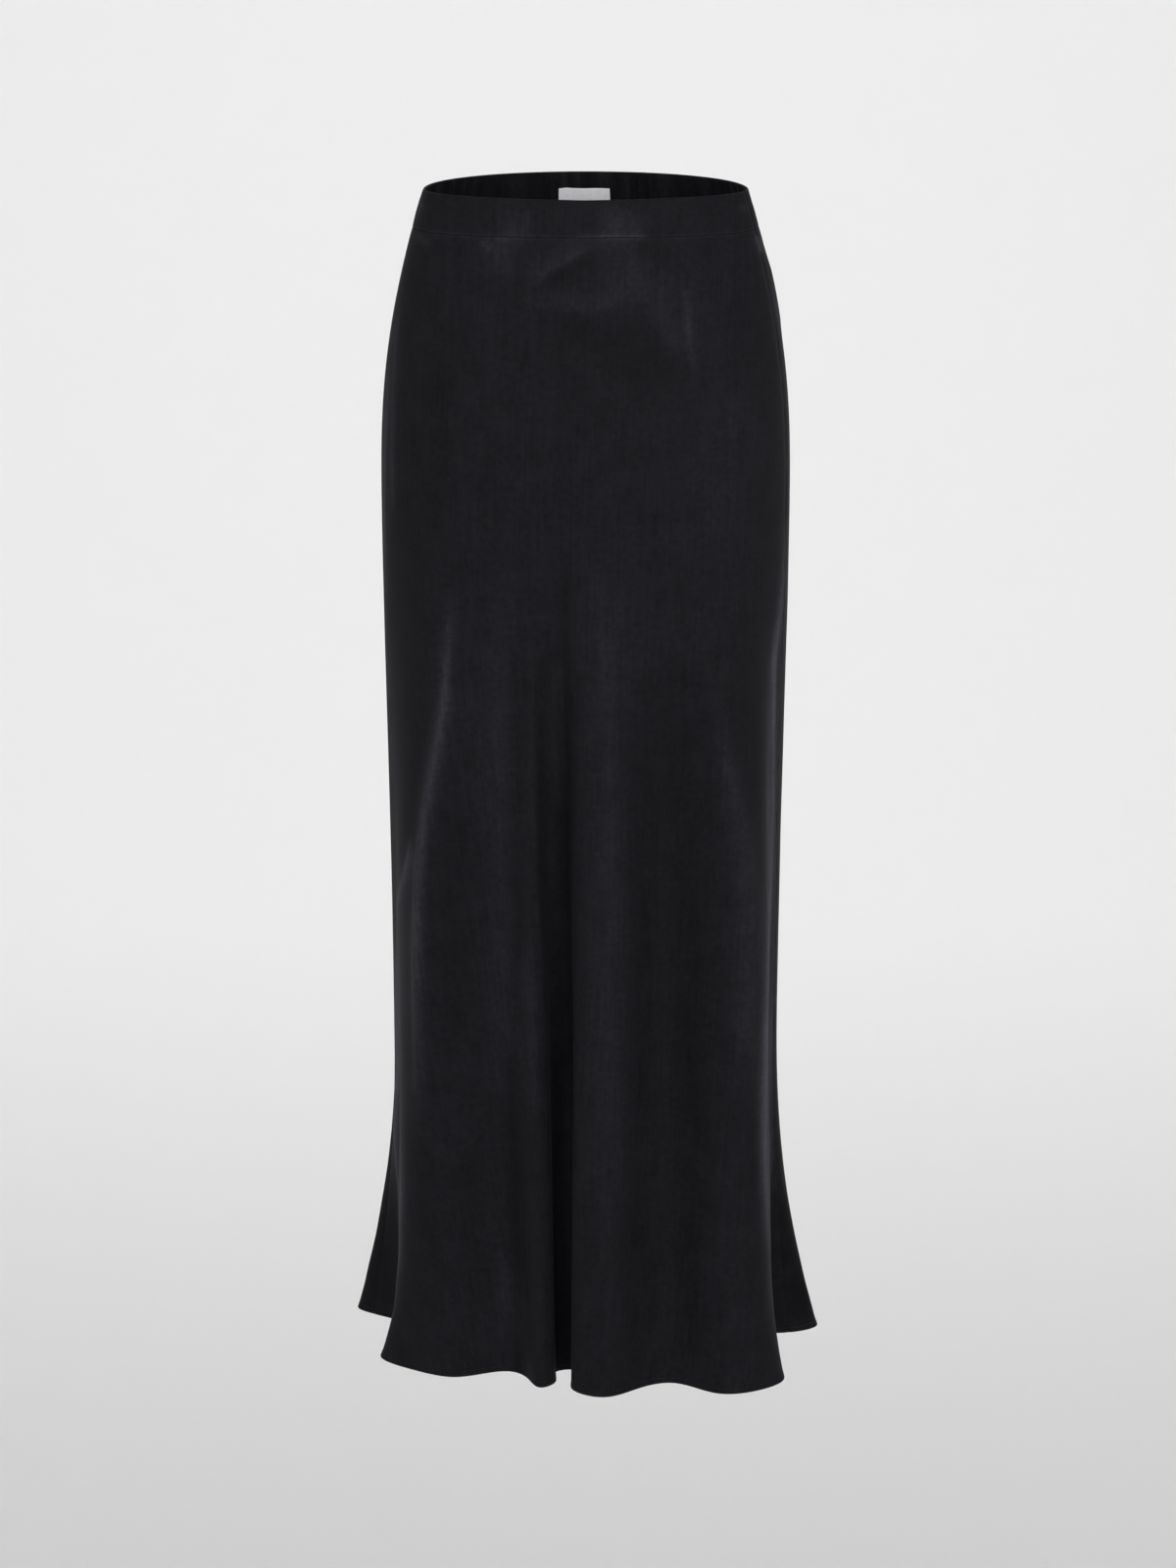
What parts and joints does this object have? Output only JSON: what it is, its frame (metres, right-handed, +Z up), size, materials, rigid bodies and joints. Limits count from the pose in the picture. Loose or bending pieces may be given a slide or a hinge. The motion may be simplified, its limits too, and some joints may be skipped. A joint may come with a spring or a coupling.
{
  "type": "slip skirt",
  "caption": "Long bias-cut slip skirt, filled out as if worn, with a plain front waistband, an elasticated back waistband, side seams and a flared hem.",
  "frame": {"origin": "middle of the waist opening, half way down the 30 mm waistband, where a wearer holds the skirt", "axes": "+Z up, the front of the skirt faces -Y, +X to the right of someone who looks at the front"},
  "size_m": [0.38, 0.3695, 0.9392],
  "materials": {
    "skirt_cloth": "black sand-washed cupro or viscose satin, soft low sheen with a fine mottled nap",
    "label_tape": "white woven label tape, left bare"
  },
  "bodies": {
    "root": {"front_panel": "skirt_cloth", "back_panel": "skirt_cloth", "front_waistband": "skirt_cloth", "back_waistband": "skirt_cloth", "label": "label_tape"}
  },
  "joints": []
}
